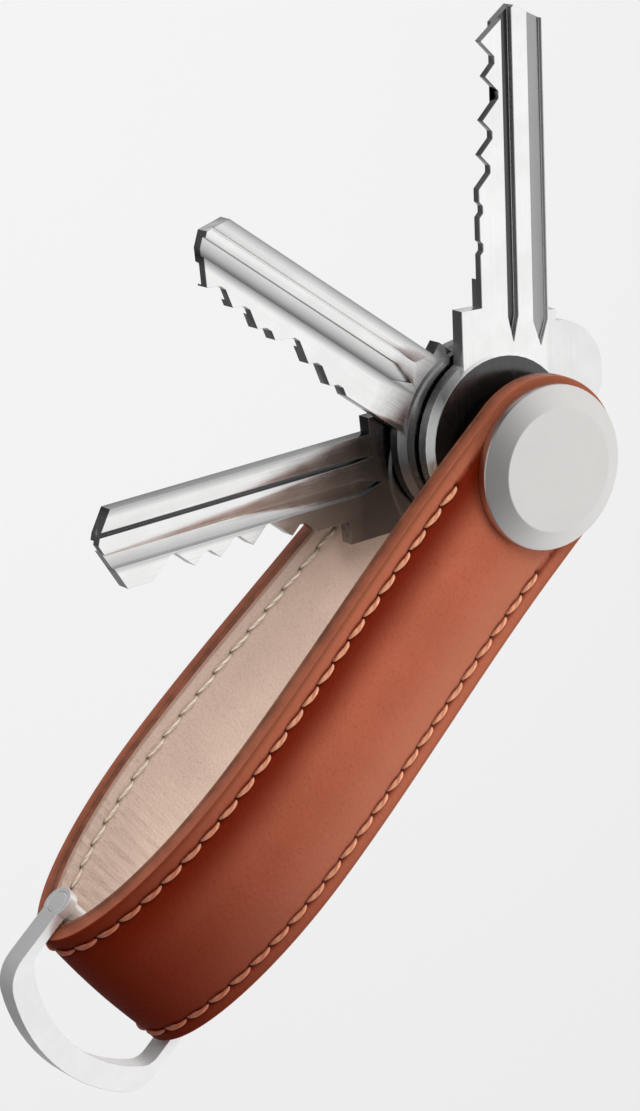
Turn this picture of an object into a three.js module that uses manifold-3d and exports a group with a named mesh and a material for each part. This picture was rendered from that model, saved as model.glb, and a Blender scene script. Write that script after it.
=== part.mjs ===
// A leather-loop key organiser: a folded, stitched leather strap whose two round ends are clamped
// by a capped screw post that carries three keys, with a metal D-ring hung in the fold.
// Millimetres. +Z points out of the front cap, +X from the post towards the D-ring. The origin is
// the middle of the front cap's flat face.
import * as THREE from "three";
import { mergeVertices } from "three/addons/utils/BufferGeometryUtils.js";
import Module from "manifold-3d";

const wasm = await Module();
wasm.setup();

// ---- Driving dimensions ----

const strapWidth = 20.9;
const leatherThickness = 1.3;
const stiffenerThickness = 0.3;
const liningThickness = 0.8;
const glueLine = 0.05; // clearance between the strap's layers

const bellyStart = 8; // where the panels start to spread, along X from the post
const noseStart = 52; // where the panels turn into the half-ellipse of the fold
const noseLength = 26.5;
const bellyHeight = 21.2; // outside height of the loop where it is fattest

const stitchInset = 2.1; // from the strap's edge to the middle of a stitch row
const threadWidth = 0.7;
const threadProud = 0.2; // how far a thread stands out of the leather
const threadSunk = 0.25; // how far it lies in its groove
const grooveClearance = 0.06;

const capRadius = 9.75;
const capRim = 1.25; // height of the straight rim
const capBevel = 1.35; // height of the sloping face
const capFaceRadius = 7.3;
const coinSlotWidth = 1.7;
const coinSlotDepth = 1.1;

const barrelRadius = 2.9;
const screwRadius = 1.6;
const threadClearance = 0.06;
const runningClearance = 0.08;
const restClearance = 0.03; // between parts stacked along the post

const bushingWall = 0.7;
const bushingFlange = 0.5;
const bushingFlangeRadius = 5.6;
const washerRadius = 8.4;
const frictionWasher = 0.7;
const fillerWasher = 1.3;
const keySpacer = 0.45;
const spacerRadius = 6.6;

const keyThickness = 2.2;
const bladeStep = 0.3; // how far a key's blade and collar lie below the raised face of its bow
const bladeWidth = 9.6;
const bowRim = 0.8; // chamfer round the front of a bow's raised disc

const barRadius = 1.35;
const barClearance = 0.39; // between the bar and the lining at the tip of the fold
const ringThickness = 2.9; // along Z
const ringReach = 14.1; // from the bar's axis to the outside of the bow
const ringGap = 0.5; // between the strap's edge and each arm
const armWidth = 1.25; // of an arm, in the plane of the ring
const bowWidth = 3.1; // of the bow, in the plane of the ring
const bowRadius = 20;
const ringCorner = 4.5;
const ringInnerCorner = 2.4;
const armEndWall = 0.6; // metal round the bar at the end of each arm

// Each key: the angle of its blade from +X and how far the blade lies off the post towards its cut
// edge; the cuts along that edge (distance from the post, depth) and the slope of their flanks; its
// tip outline and milled grooves, given as a share of the blade's width from the cut edge, with each
// groove's depth, the end nearest the bow and its face; the corner of its collar on either side; and
// the circles round its bow, of which the first is the raised disc.
const keys = [
  {
    name: "key_rear",
    angle: -37.6,
    offset: -1.2,
    slope: 0.9,
    cuts: [[44.6, 2.4], [40.1, 1.6], [36, 2.2], [31.4, 2.6], [27, 1.4]],
    tip: [[50.9, 0.23], [54, 0.6], [53.6, 0.73], [52, 1]],
    grooves: [[0.69, 0.75, 0.8, 16.5, 1], [0.28, 0.47, 0.6, 15.5, 1], [0.5, 0.64, 0.7, 20, -1]],
    collar: { cutSide: [20.6, 6.4], spineSide: [16.6, -7.9] },
    bow: [[4.5, 0, 10.6]],
  },
  {
    name: "key_middle",
    angle: -77.7,
    offset: -0.45,
    slope: 0.65,
    cuts: [[45.5, 2.7], [41.4, 2.3], [37.5, 1.6], [33.5, 2.4], [29.2, 1.4], [25.2, 0.6]],
    tip: [[47.4, 0.2], [50.2, 0.53], [50.8, 0.73], [48.9, 1]],
    grooves: [[0.46, 0.66, 0.6, 16.5, 1], [0.78, 0.81, 0.3, 17.5, 1], [0.2, 0.4, 0.7, 19, -1]],
    collar: { cutSide: [12.6, 4.35], spineSide: [15.6, -6.8] },
    bow: [[5, -0.5, 11]],
  },
  {
    name: "key_front",
    angle: -132,
    offset: -0.3,
    slope: 1,
    cuts: [[46.7, 2.65], [42.7, 3.1], [38.2, 2.1], [34.3, 1.7], [29.8, 0.5], [25.4, 0.4]],
    tip: [[49, 0.09], [52.7, 0.58], [50.75, 1]],
    grooves: [[0.39, 0.54, 0.8, 13.8, 1], [0.77, 0.98, 0.5, 12.8, 1], [-0.05, 0.33, 0.8, 19.5, -1]],
    collar: { cutSide: [18.4, 7.4], spineSide: [16.8, -6.2] },
    bow: [[2.9, 2.3, 10.4], [8.5, -6, 6.9]],
  },
];
const cutRootHalf = 0.4;
const groovePoint = 3; // length of the pointed end of a groove
const bowTail = 8.6; // radius of the bow behind the post

const roundSteps = 48;
const noseSteps = 30;
const bellySteps = 12;

// ---- Places that follow from them ----

const strapThickness = leatherThickness + stiffenerThickness + liningThickness + 2 * glueLine;
const strapEnd = strapWidth / 2;
const stitchY = strapWidth / 2 - stitchInset;
const capHeight = capRim + capBevel;
const bushingRadius = barrelRadius + runningClearance + bushingWall;
const keyHole = barrelRadius + runningClearance;

// The stack on the post, from the rear panel to the front panel.
const stack = [
  ["rear_bushing", bushingFlange],
  ["rear_friction_washer", frictionWasher],
  ["key_rear", keyThickness],
  ["rear_key_spacer", keySpacer],
  ["key_middle", keyThickness],
  ["front_key_spacer", keySpacer],
  ["key_front", keyThickness],
  ["filler_washer", fillerWasher],
  ["front_friction_washer", frictionWasher],
  ["front_bushing", bushingFlange],
];
const stackHeight = stack.reduce((sum, [, t]) => sum + t + restClearance, restClearance);
const frontLeatherZ = -capHeight - restClearance;
const frontLiningZ = frontLeatherZ - strapThickness;
const rearLiningZ = frontLiningZ - stackHeight;
const rearLeatherZ = rearLiningZ - strapThickness;
const rearFaceZ = rearLeatherZ - restClearance - capHeight;
const middleZ = (frontLeatherZ + rearLeatherZ) / 2;
const stackZ = {};
stack.reduce((z, [name, t]) => {
  stackZ[name] = z;
  return z + t + restClearance;
}, rearLiningZ + restClearance);

const postHalfHeight = (frontLeatherZ - rearLeatherZ) / 2;
const bellyHalf = bellyHeight / 2;
const barX = noseStart + noseLength - strapThickness - barClearance - barRadius;
const armEndRadius = barRadius + armEndWall;

// ---- Materials ----

function material(color, roughness, metalness) {
  return new THREE.MeshStandardMaterial({ color, roughness, metalness });
}
const tanLeather = material(0xb0624c, 0.55, 0);
const boardFibre = material(0x8a6a4a, 0.9, 0);
const beigeLining = material(0xb49989, 0.7, 0);
const tanThread = material(0xc07a50, 0.7, 0);
const creamThread = material(0xd8c9ad, 0.8, 0);
const satinSteel = material(0xd4cecb, 0.35, 1);
const keySteel = material(0xc9c9c6, 0.25, 1);
const ringSteel = material(0xbfc0bd, 0.3, 1);
const blackNylon = material(0x1d1d1f, 0.6, 0);
const brass = material(0xb8944f, 0.35, 1);

// ---- Solids ----

function solid(geometry) {
  const bare = geometry.index ? geometry.toNonIndexed() : geometry.clone();
  bare.deleteAttribute("normal");
  bare.deleteAttribute("uv");
  const merged = mergeVertices(bare, 1e-5);
  return new wasm.Manifold(
    new wasm.Mesh({
      numProp: 3,
      vertProperties: merged.attributes.position.array,
      triVerts: new Uint32Array(merged.index.array),
    }),
  );
}

function geometryOf(made) {
  const mesh = made.getMesh();
  const corners = mesh.vertProperties;
  const geometry = new THREE.BufferGeometry();
  geometry.setAttribute("position", new THREE.BufferAttribute(new Float32Array(corners), 3));
  geometry.setIndex(new THREE.BufferAttribute(new Uint32Array(mesh.triVerts), 1));
  const flat = geometry.toNonIndexed();
  flat.computeVertexNormals();
  return flat;
}

// A prism of an outline in the XY plane, from z = low to z = high.
function prismZ(points, low, high) {
  const geometry = new THREE.ExtrudeGeometry(new THREE.Shape(points), {
    depth: high - low,
    bevelEnabled: false,
  });
  return solid(geometry.translate(0, 0, low));
}

// A prism of an outline of (x, z) points, from y = low to y = high.
function prismY(points, low, high) {
  const geometry = new THREE.ExtrudeGeometry(new THREE.Shape(points), {
    depth: high - low,
    bevelEnabled: false,
  });
  return solid(geometry.rotateX(Math.PI / 2).translate(0, high, 0));
}

// A body turned about Z from [radius, z] points that start and end on the axis.
function turned(profile, steps = roundSteps) {
  const points = profile.map(([r, z]) => new THREE.Vector2(r, z));
  return solid(new THREE.LatheGeometry(points, steps).rotateX(Math.PI / 2));
}

function disc(radius, low, high, steps = roundSteps) {
  return turned([[0, low], [radius, low], [radius, high], [0, high]], steps);
}

function ring(inner, outer, low, high) {
  return disc(outer, low, high).subtract(disc(inner, low - 1, high + 1));
}

// ---- Strap ----

// Half the outside height of the loop between the post and the fold.
function panelHalf(x) {
  const t = THREE.MathUtils.clamp((x - bellyStart) / (noseStart - bellyStart), 0, 1);
  return postHalfHeight + (bellyHalf - postHalfHeight) * t * t * (3 - 2 * t);
}

function panelSlope(x) {
  const span = noseStart - bellyStart;
  const t = THREE.MathUtils.clamp((x - bellyStart) / span, 0, 1);
  return ((bellyHalf - postHalfHeight) * 6 * t * (1 - t)) / span;
}

// The outside line of the loop in the XZ plane with its outward normals, from startX on the front
// panel round the fold to startX on the rear panel.
function loopLine(startX) {
  const panel = [];
  for (let i = 0; i < bellySteps; i++) {
    const x = i === 0 ? startX : bellyStart + ((noseStart - bellyStart) * (i - 1)) / (bellySteps - 1);
    const normal = new THREE.Vector2(-panelSlope(x), 1).normalize();
    if (i === 0 || x > startX) panel.push([new THREE.Vector2(x, panelHalf(x)), normal]);
  }
  const nose = [];
  for (let i = 0; i <= noseSteps; i++) {
    const turn = Math.PI / 2 - (Math.PI * i) / noseSteps;
    const normal = new THREE.Vector2(Math.cos(turn), Math.sin(turn));
    const reach = Math.hypot(noseLength * normal.x, bellyHalf * normal.y);
    const x = noseStart + (noseLength ** 2 * normal.x) / reach;
    nose.push([new THREE.Vector2(x, (bellyHalf ** 2 * normal.y) / reach), normal]);
  }
  const mirrored = panel.map(([p, n]) => [new THREE.Vector2(p.x, -p.y), new THREE.Vector2(n.x, -n.y)]);
  return [...panel, ...nose, ...mirrored.reverse()];
}

// The outline between two depths below the outside line. A negative depth stands proud of it.
function loopBand(startX, outerDepth, innerDepth) {
  const line = loopLine(startX);
  const at = (depth) =>
    line.map(([p, n]) => new THREE.Vector2(p.x - depth * n.x, p.y - depth * n.y + middleZ));
  return [...at(outerDepth), ...at(innerDepth).reverse()].reverse();
}

// The strap's outline seen from the front: straight edges and one round end, about the post.
function strapPlan() {
  const points = [];
  for (let i = 0; i <= roundSteps / 2; i++) {
    const turn = Math.PI / 2 + (Math.PI * i) / (roundSteps / 2);
    points.push(new THREE.Vector2(strapEnd * Math.cos(turn), strapEnd * Math.sin(turn)));
  }
  const far = noseStart + noseLength + 5;
  points.push(new THREE.Vector2(far, -strapWidth / 2), new THREE.Vector2(far, strapWidth / 2));
  return prismZ(points, rearFaceZ - 5, 5);
}

function strapLayer(outerDepth, innerDepth, holeRadius) {
  return prismY(loopBand(-strapEnd - 1, outerDepth, innerDepth), -strapWidth / 2, strapWidth / 2)
    .intersect(strapPlan())
    .subtract(disc(holeRadius, rearFaceZ - 5, 5));
}

// A stitch row starts where the cap's rim no longer covers it.
const stitchStart = Math.sqrt(capRadius ** 2 - (stitchY - threadWidth) ** 2) + 0.5;

function stitchBand(side, outerDepth, innerDepth, width, startX) {
  const middle = side * stitchY;
  return prismY(loopBand(startX, outerDepth, innerDepth), middle - width / 2, middle + width / 2);
}

const liningDepth = strapThickness - liningThickness;
const grooveWidth = threadWidth + 2 * grooveClearance;
const grooveStart = stitchStart - grooveClearance;

function outerLeather() {
  let made = strapLayer(0, leatherThickness, bushingRadius + restClearance);
  for (const side of [-1, 1]) {
    const depth = threadSunk + grooveClearance;
    made = made.subtract(stitchBand(side, -1, depth, grooveWidth, grooveStart));
  }
  return made;
}

function stiffener() {
  const outer = leatherThickness + glueLine;
  return strapLayer(outer, outer + stiffenerThickness, bushingRadius + restClearance);
}

function lining() {
  let made = strapLayer(liningDepth, strapThickness, bushingRadius + restClearance);
  for (const side of [-1, 1]) {
    const depth = strapThickness - threadSunk - grooveClearance;
    made = made.subtract(stitchBand(side, depth, strapThickness + 1, grooveWidth, grooveStart));
  }
  return made;
}

function needleThread(side) {
  return stitchBand(side, -threadProud, threadSunk, threadWidth, stitchStart);
}

function bobbinThread(side) {
  const outer = strapThickness - threadSunk;
  return stitchBand(side, outer, strapThickness + threadProud / 2, threadWidth, stitchStart);
}

// ---- Post and stack ----

// A cap's [radius, distance from its seat] outline, from the axis at the seat to its face.
const capProfile = [
  [0, 0],
  [capRadius, 0],
  [capRadius, capRim],
  [capFaceRadius, capHeight],
  [0, capHeight],
];

function frontCapPost() {
  const seat = -capHeight;
  const cap = turned(capProfile.map(([r, h]) => [r, seat + h]));
  const barrelEnd = rearLeatherZ + restClearance;
  const barrel = disc(barrelRadius, barrelEnd, seat + capRim / 2);
  const bore = disc(screwRadius + threadClearance, barrelEnd - 1, frontLiningZ);
  return cap.add(barrel).subtract(bore);
}

function backCapScrew() {
  const seat = rearFaceZ + capHeight;
  const cap = turned(capProfile.map(([r, h]) => [r, seat - h]).reverse());
  const screw = disc(screwRadius, seat - capRim / 2, frontLiningZ - 1.5);
  const slot = new THREE.BoxGeometry(coinSlotWidth, 2 * capRadius + 2, 2 * coinSlotDepth);
  return cap.add(screw).subtract(solid(slot.translate(0, 0, rearFaceZ)));
}

// A bushing lines the strap's hole; its flange lies on the lining.
function bushing(name, outward) {
  const low = stackZ[name];
  const flange = ring(keyHole, bushingFlangeRadius, low, low + bushingFlange);
  const reach = strapThickness - restClearance;
  const tubeLow = outward > 0 ? low : low - reach;
  const tubeHigh = outward > 0 ? low + bushingFlange + reach : low + bushingFlange;
  return flange.add(ring(keyHole, bushingRadius, tubeLow, tubeHigh));
}

function washer(name, radius, thickness) {
  return ring(keyHole, radius, stackZ[name], stackZ[name] + thickness);
}

// ---- Keys ----

// How deep the edge of the blade is cut at a distance from the post.
function cutDepth(key, u) {
  const depths = key.cuts.map(
    ([at, depth]) => depth - key.slope * Math.max(0, Math.abs(u - at) - cutRootHalf),
  );
  return Math.max(0, ...depths);
}

// The line on a key that is a share of the blade's width from its cut edge.
function bladeLine(key, share) {
  return key.offset + bladeWidth / 2 - share * bladeWidth;
}

// The blade's outline: u runs from the post to the tip, v towards the cut edge.
function bladeOutline(key) {
  const cutEdge = bladeLine(key, 0);
  const [tipCutSide] = key.tip[0];
  const corners = new Set([0, tipCutSide]);
  for (const [at, depth] of key.cuts) {
    const flank = cutRootHalf + depth / key.slope;
    for (const u of [at - flank, at - cutRootHalf, at + cutRootHalf, at + flank]) corners.add(u);
  }
  for (let i = 0; i + 1 < key.cuts.length; i++) {
    const [[a, deepA], [b, deepB]] = [key.cuts[i], key.cuts[i + 1]];
    corners.add((a + b) / 2 + (deepB - deepA) / (2 * key.slope));
  }
  const inside = [...corners].filter((u) => u <= tipCutSide).sort((a, b) => a - b);
  const edge = inside.map((u) => new THREE.Vector2(u, cutEdge - cutDepth(key, u)));
  const tip = key.tip.slice(1).map(([u, share]) => new THREE.Vector2(u, bladeLine(key, share)));
  return [...edge, ...tip, new THREE.Vector2(0, bladeLine(key, 1))].reverse();
}

// A groove's outline, pointed at its end nearest the bow.
function grooveOutline(key, from, to, start) {
  const [near, far, middle] = [from, to, (from + to) / 2].map((share) => bladeLine(key, share));
  const end = key.tip[1][0] + groovePoint;
  return [[start, middle], [start + groovePoint, far], [end, far], [end, near], [start + groovePoint, near]];
}

// The convex outline round a few circles, each [x, y, radius].
function roundedHull(circles) {
  const points = [];
  for (let i = 0; i < roundSteps; i++) {
    const turn = (2 * Math.PI * i) / roundSteps;
    const [dx, dy] = [Math.cos(turn), Math.sin(turn)];
    const reach = circles.map(([x, y, r]) => x * dx + y * dy + r);
    const [x, y, r] = circles[reach.indexOf(Math.max(...reach))];
    points.push(new THREE.Vector2(x + r * dx, y + r * dy));
  }
  return points;
}

function outline(points) {
  return points.map(([x, y]) => new THREE.Vector2(x, y));
}

function keySolid(key) {
  const low = stackZ[key.name];
  const high = low + keyThickness;
  const face = high - bladeStep;
  const tail = [0, 0, bowTail];
  const [[discU, discV, discRadius], ...plate] = key.bow;
  const { cutSide, spineSide } = key.collar;
  const collar = [
    [0, spineSide[1]], spineSide, [spineSide[0], 0], [cutSide[0], 0], cutSide, [0, cutSide[1]],
  ];
  const raised = turned([
    [0, low], [discRadius, low], [discRadius, high - bowRim], [discRadius - bowRim, high], [0, high],
  ]);
  let made = raised
    .translate([discU, discV, 0])
    .add(prismZ(roundedHull([tail, ...plate]), low, face))
    .add(prismZ(outline(collar), low, face))
    .add(prismZ(bladeOutline(key), low, face));
  for (const [from, to, depth, start, side] of key.grooves) {
    const [bottom, top] = side > 0 ? [face - depth, face + depth] : [low - depth, low + depth];
    const tool = prismZ(outline(grooveOutline(key, from, to, start)), bottom, top);
    made = made.subtract(tool);
  }
  return made.subtract(disc(keyHole, low - 1, high + 1)).rotate([0, 0, key.angle]);
}

// ---- D-ring ----

// Half of the ring's edge, from the arm's end to the tip of the bow, for an arm face at y = half.
// The bow is an arc about a point on the X axis, joined to the arm by a corner arc.
function ringEdge(half, corner, bow, bowCentre) {
  const cornerY = half - corner;
  const cornerX = bowCentre + Math.sqrt((bow - corner) ** 2 - cornerY ** 2);
  const join = Math.atan2(cornerY, cornerX - bowCentre);
  const points = [];
  const cornerSteps = 6;
  for (let i = 0; i <= cornerSteps; i++) {
    const turn = Math.PI / 2 + ((join - Math.PI / 2) * i) / cornerSteps;
    points.push([cornerX + corner * Math.cos(turn), cornerY + corner * Math.sin(turn)]);
  }
  const bowSteps = 7;
  for (let i = 1; i <= bowSteps; i++) {
    const turn = join * (1 - i / bowSteps);
    points.push([bowCentre + bow * Math.cos(turn), bow * Math.sin(turn)]);
  }
  return points;
}

function bothSides(halfEdge) {
  const mirrored = halfEdge.slice(0, -1).map(([x, y]) => [x, -y]);
  return [...halfEdge, ...mirrored.reverse()].map(([x, y]) => new THREE.Vector2(x, y));
}

function dRing() {
  const innerHalf = strapWidth / 2 + ringGap;
  const outerHalf = innerHalf + armWidth;
  const bowCentre = ringReach - bowRadius;
  const outer = bothSides([
    [0, outerHalf],
    ...ringEdge(outerHalf, ringCorner, bowRadius, bowCentre),
  ]);
  const inner = bothSides([
    [-armEndRadius - 1, innerHalf],
    ...ringEdge(innerHalf, ringInnerCorner, bowRadius - bowWidth, bowCentre),
  ]);
  const halfThick = ringThickness / 2;
  const frame = prismZ(outer.reverse(), -halfThick, halfThick);
  const ends = solid(
    new THREE.CylinderGeometry(armEndRadius, armEndRadius, 2 * outerHalf, roundSteps),
  );
  const bar = solid(
    new THREE.CylinderGeometry(
      barRadius + restClearance, barRadius + restClearance, 2 * outerHalf + 2, roundSteps,
    ),
  );
  const opening = prismZ(inner.reverse(), -armEndRadius - 1, armEndRadius + 1);
  return frame.add(ends).subtract(opening).subtract(bar).translate([barX, 0, middleZ]);
}

function dRingBar() {
  const length = strapWidth + 2 * (ringGap + armWidth);
  const bar = new THREE.CylinderGeometry(barRadius, barRadius, length, roundSteps);
  return solid(bar.translate(barX, 0, middleZ));
}

// ---- Assembly ----

const organiser = new THREE.Group();

function place(parent, name, made, look) {
  const mesh = new THREE.Mesh(geometryOf(made), look);
  mesh.name = name;
  parent.add(mesh);
}

const strap = new THREE.Group();
place(strap, "strap_outer_leather", outerLeather(), tanLeather);
place(strap, "strap_stiffener", stiffener(), boardFibre);
place(strap, "strap_lining", lining(), beigeLining);
for (const [name, side] of [["near", -1], ["far", 1]]) {
  place(strap, `needle_thread_${name}`, needleThread(side), tanThread);
  place(strap, `bobbin_thread_${name}`, bobbinThread(side), creamThread);
}

const post = new THREE.Group();
place(post, "front_cap_post", frontCapPost(), satinSteel);
place(post, "back_cap_screw", backCapScrew(), satinSteel);
place(post, "front_bushing", bushing("front_bushing", 1), brass);
place(post, "rear_bushing", bushing("rear_bushing", -1), brass);
for (const name of ["front_friction_washer", "rear_friction_washer"]) {
  place(post, name, washer(name, washerRadius, frictionWasher), blackNylon);
}
place(post, "filler_washer", washer("filler_washer", washerRadius, fillerWasher), blackNylon);
for (const name of ["front_key_spacer", "rear_key_spacer"]) {
  place(post, name, washer(name, spacerRadius, keySpacer), blackNylon);
}

const keyRing = new THREE.Group();
for (const key of keys) place(keyRing, key.name, keySolid(key), keySteel);

const hanger = new THREE.Group();
place(hanger, "d_ring", dRing(), ringSteel);
place(hanger, "d_ring_bar", dRingBar(), ringSteel);

organiser.add(strap, post, keyRing, hanger);

export default organiser;
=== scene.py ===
"""Finishes a leather-loop key organiser: waxed tan leather strap with a beige lining and lockstitched
edges, satin screw caps, three nickel keys on a post and a D-ring in the fold.

Lengths are in metres. +Z points out of the front cap and +X from the post towards the D-ring.
"""

import math

import bmesh
import bpy
import numpy as np
from bpy.props import FloatProperty, FloatVectorProperty, PointerProperty
from bpy.types import Operator, Panel, PropertyGroup
from mathutils import Matrix, Vector


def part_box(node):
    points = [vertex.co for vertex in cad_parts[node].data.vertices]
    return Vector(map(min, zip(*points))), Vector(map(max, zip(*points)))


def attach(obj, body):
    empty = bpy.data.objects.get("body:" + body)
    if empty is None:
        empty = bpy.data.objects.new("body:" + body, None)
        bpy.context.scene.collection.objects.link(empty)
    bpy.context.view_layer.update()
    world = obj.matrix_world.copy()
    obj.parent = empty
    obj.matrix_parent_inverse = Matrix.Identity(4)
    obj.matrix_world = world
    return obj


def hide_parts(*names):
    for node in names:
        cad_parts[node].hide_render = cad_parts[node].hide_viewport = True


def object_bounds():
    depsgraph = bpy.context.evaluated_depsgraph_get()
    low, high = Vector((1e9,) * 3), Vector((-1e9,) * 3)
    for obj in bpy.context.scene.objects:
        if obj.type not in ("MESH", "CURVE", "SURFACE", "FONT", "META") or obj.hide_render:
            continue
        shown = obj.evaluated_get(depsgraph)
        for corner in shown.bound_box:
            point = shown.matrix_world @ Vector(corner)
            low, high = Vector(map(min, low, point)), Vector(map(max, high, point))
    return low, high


bl_info = {
    "name": "Leather Key Organiser",
    "version": (1, 0, 0),
    "blender": (4, 5, 0),
    "location": "View3D > Sidebar > Key Organiser",
    "description": "Builds the finished pieces of a leather-loop key organiser on its solid model",
    "category": "Object",
}

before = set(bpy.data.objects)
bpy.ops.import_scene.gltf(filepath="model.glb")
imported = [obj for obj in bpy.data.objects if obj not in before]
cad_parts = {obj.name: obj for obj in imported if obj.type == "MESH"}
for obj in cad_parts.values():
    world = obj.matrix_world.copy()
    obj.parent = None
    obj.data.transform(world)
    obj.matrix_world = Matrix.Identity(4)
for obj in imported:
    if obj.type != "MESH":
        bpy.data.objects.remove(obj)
model_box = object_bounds()

MM = 0.001
BODY = "organiser_body"
RING_BODY = "hanging_ring"
KEY_BODIES = {"key_front": "front_key", "key_middle": "middle_key", "key_rear": "rear_key"}

# How each key looks: the angle of its blade in degrees, the share of painted shade and reflection on
# its bow's disc, the share of painted shade and reflection in its grooves and along its whole blade as
# (millimetres across the blade, share) steps, and its painted shadow near the post as (radius in
# millimetres, share) steps from the post outwards.
KEY_LOOKS = {
    "key_front": {
        "angle": -132,
        "disc": 1.0,
        "grooves": ((-2.2, 0.66), (-1.6, 1.0)),
        "blade": ((-5, 0.12), (-4.4, 0.0)),
        "painted_shadow": ((9, 0.0), (30, 0.0)),
    },
    "key_middle": {
        "angle": -77.7,
        "disc": 0.5,
        "grooves": ((-2.1, 0.08), (-0.9, 0.55), (-0.1, 1.0)),
        "blade": ((-5.2, 0.7), (-4.1, 0.0), (-1.0, 0.0), (-0.1, 0.8), (1.0, 0.0)),
        "painted_shadow": ((15, 0.85), (18, 0.5), (21, 0.0)),
    },
    "key_rear": {
        "angle": -37.6,
        "disc": 0.5,
        "grooves": ((-2.4, 1.0), (-2.0, 0.12), (-0.9, 0.12), (0.9, 0.5)),
        "blade": ((-5.8, 0.5), (-5.0, 0.0), (0.6, 0.0), (1.1, 0.35), (1.6, 0.0)),
        "painted_shadow": ((19, 0.9), (25, 0.6), (33, 0.0)),
    },
}

strap_low, strap_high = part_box("strap_outer_leather")
HALF_WIDTH = strap_high.y
MIDDLE_Z = (strap_low.z + strap_high.z) / 2
FOLD_TIP = strap_high.x
BELLY_HALF = (strap_high.z - strap_low.z) / 2
BUSHING_RECESS = 0.06 * MM  # how far the bushings lie below the leather's face
POST_HALF = (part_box("front_bushing")[1].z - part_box("rear_bushing")[0].z) / 2 + BUSHING_RECESS
LINING_DEPTH = strap_high.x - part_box("strap_lining")[1].x
thread_low, thread_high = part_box("needle_thread_far")
STITCH_INSET = HALF_WIDTH - (thread_low.y + thread_high.y) / 2
STITCH_START = thread_low.x

# Shape of the sheets
HIDDEN_ROUND = 0.08 * MM  # corners that lie between the leather and the lining
LINING_ROUND = 0.28 * MM  # corners of the lining's open face
CROWDING = 2.2  # power by which the points of a face crowd towards its edges
HOLE_ALONG, HOLE_ACROSS = 0.38 * MM, 0.3 * MM  # spread of the dent round a needle hole
LEATHER_HOLE, LINING_HOLE = 0.3 * MM, 0.25 * MM  # depth of that dent in each sheet
SEAT_LENGTH, SEAT_RISE = 9 * MM, 16 * MM  # flat seat under a cap, and where the swell sets in
BEAD_TUCK = 0.25 * MM  # how far the painted bead reaches under the edge
CREASE_LONG, CREASE_SHORT = 0.36 * MM, 0.25 * MM  # the two waves of the lining's creases
WANDER_LONG, WANDER_SHORT = 2.9 * MM, 1.3 * MM  # how their phase wanders across the strap
CREASE_REACH = 17 * MM  # spread of the creases from the fold's tip
BEVEL_ANGLE = math.radians(24)  # edges that are flatter than this stay unbroken
LEVEL = 0.95  # least upward part of a normal that counts as looking straight up

# Colours of wear, of painted shade and of a painted highlight
MARGIN_RED = (0.34, 0.11, 0.06)
# Painted highlight on the far side of the leather's face
HIGHLIGHT_TAN = (0.42, 0.16, 0.1)
WARM_EDGE = (0.42, 0.1, 0.045)
# Painted shade of the threads in the fold
NEEDLE_FOLD_SHADE = (0.3, 0.05, 0.015)
BOBBIN_FOLD_SHADE = (0.6, 0.45, 0.33)

# Stretch of the metal's patterns along, across and through a blade
MILLING_SCALE = (60, 4200, 900)
SCRATCH_SCALE = (90, 5200, 90)
SCRATCH_TURN = (0, 0, 0.5)

# Studio
MAIN_LIGHT = (-0.75, 0.65, 0.25)  # where the bright side of the world lies
SECOND_PANEL = (0.7, -0.7, 0.2)
DARK_WORLD, BRIGHT_WORLD = (0.055, 0.055, 0.057), (1.0, 1.0, 1.0)
FLOOR_HALF, FLOOR_STEPS = 3, 13


# ---- Sizes and colours ----


def length(name, description, millimetres):
    """A size, given in millimetres."""
    return FloatProperty(
        name=name, description=description, default=millimetres * MM, unit="LENGTH"
    )


def angle(name, description, degrees):
    """An angle, given in degrees."""
    return FloatProperty(
        name=name, description=description, default=math.radians(degrees), subtype="ANGLE"
    )


def colour(name, description, *value):
    """A colour, given as red, green and blue from 0 to 1."""
    return FloatVectorProperty(
        name=name, description=description, default=value, subtype="COLOR", min=0, max=1
    )


class StrapSettings(PropertyGroup):
    """Sizes and colours of the leather, the lining and the threads"""

    belly_start: length("Belly start", "Where the panels start to spread", 8)
    fold_length: length("Fold length", "Length of the half-ellipse of the fold", 26.5)
    layer_gap: length("Layer gap", "Gap between the board and the lining", 0.04)
    lining_thickness: length("Lining thickness", "Thickness of the lining leather", 0.8)
    edge_round: length("Edge rounding", "Radius of the burnished corners of the leather", 0.38)
    edge_bulge: length("Edge bulge", "How far the painted edge stands out", 0.12)
    channel_depth: length("Stitch channel", "Depth of the channel that the stitches press", 0.16)
    pitch: length("Stitch pitch", "Distance from one stitch to the next", 3.15)
    needle_radius: length("Needle thread radius", "Half the width of the outer thread", 0.31)
    bobbin_radius: length("Bobbin thread radius", "Half the width of the inner thread", 0.22)
    askew: length("Stitch slant", "How far each end of a stitch lies off its row", 0.13)
    crease: length("Crease depth", "Depth of the creases of the lining in the fold", 0.3)
    crown: length("Crown", "How far the face swells between the stitch rows", 0.3)
    leather: colour("Leather", "Colour of the waxed face", 0.355, 0.094, 0.05)
    # Used for the leather's darker speckle and for its painted shade
    leather_dark_and_shade: colour("Deep leather", "Colour of the pulled-up and rubbed face", 0.13, 0.0095, 0.001)
    edge: colour("Edge paint", "Colour of the painted edge", 0.2, 0.062, 0.03)
    lining: colour("Lining", "Colour of the lining", 0.67, 0.52, 0.43)
    needle: colour("Needle thread", "Colour of the outer thread", 0.72, 0.3, 0.16)
    bobbin: colour("Bobbin thread", "Colour of the inner thread", 0.92, 0.8, 0.65)


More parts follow.
